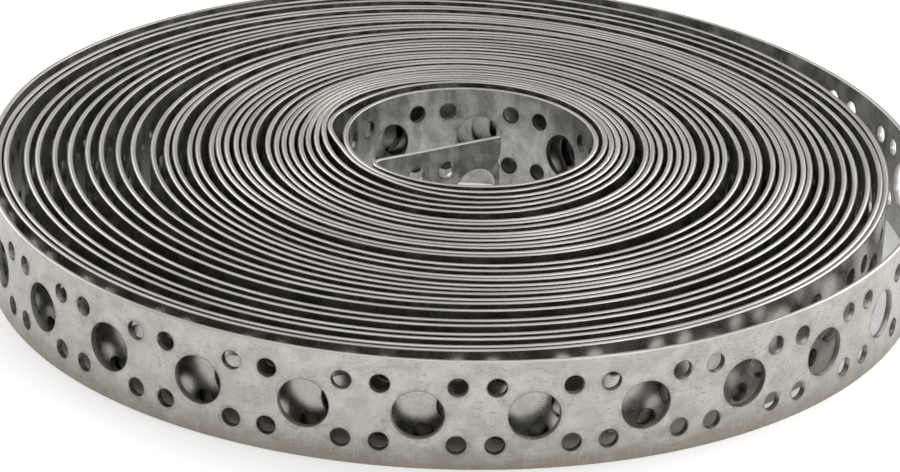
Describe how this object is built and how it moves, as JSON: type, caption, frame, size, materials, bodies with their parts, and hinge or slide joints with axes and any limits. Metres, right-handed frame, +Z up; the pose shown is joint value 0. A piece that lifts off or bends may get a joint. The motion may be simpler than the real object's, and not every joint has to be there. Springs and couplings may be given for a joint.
{
  "type": "perforated steel band coil",
  "caption": "Loose flat coil of galvanised perforated steel fixing band, with an open bore crossed by its folded inner tail.",
  "frame": {"origin": "middle of the coil on the floor that it lies on", "axes": "+Z up along the winding axis, -Y towards the front of the loose outer turn, +X to the right"},
  "size_m": [0.1742, 0.1746, 0.02],
  "materials": {
    "galvanised_steel": "satin zinc"
  },
  "bodies": {
    "root": {"perforated_band": "galvanised_steel"}
  },
  "joints": []
}
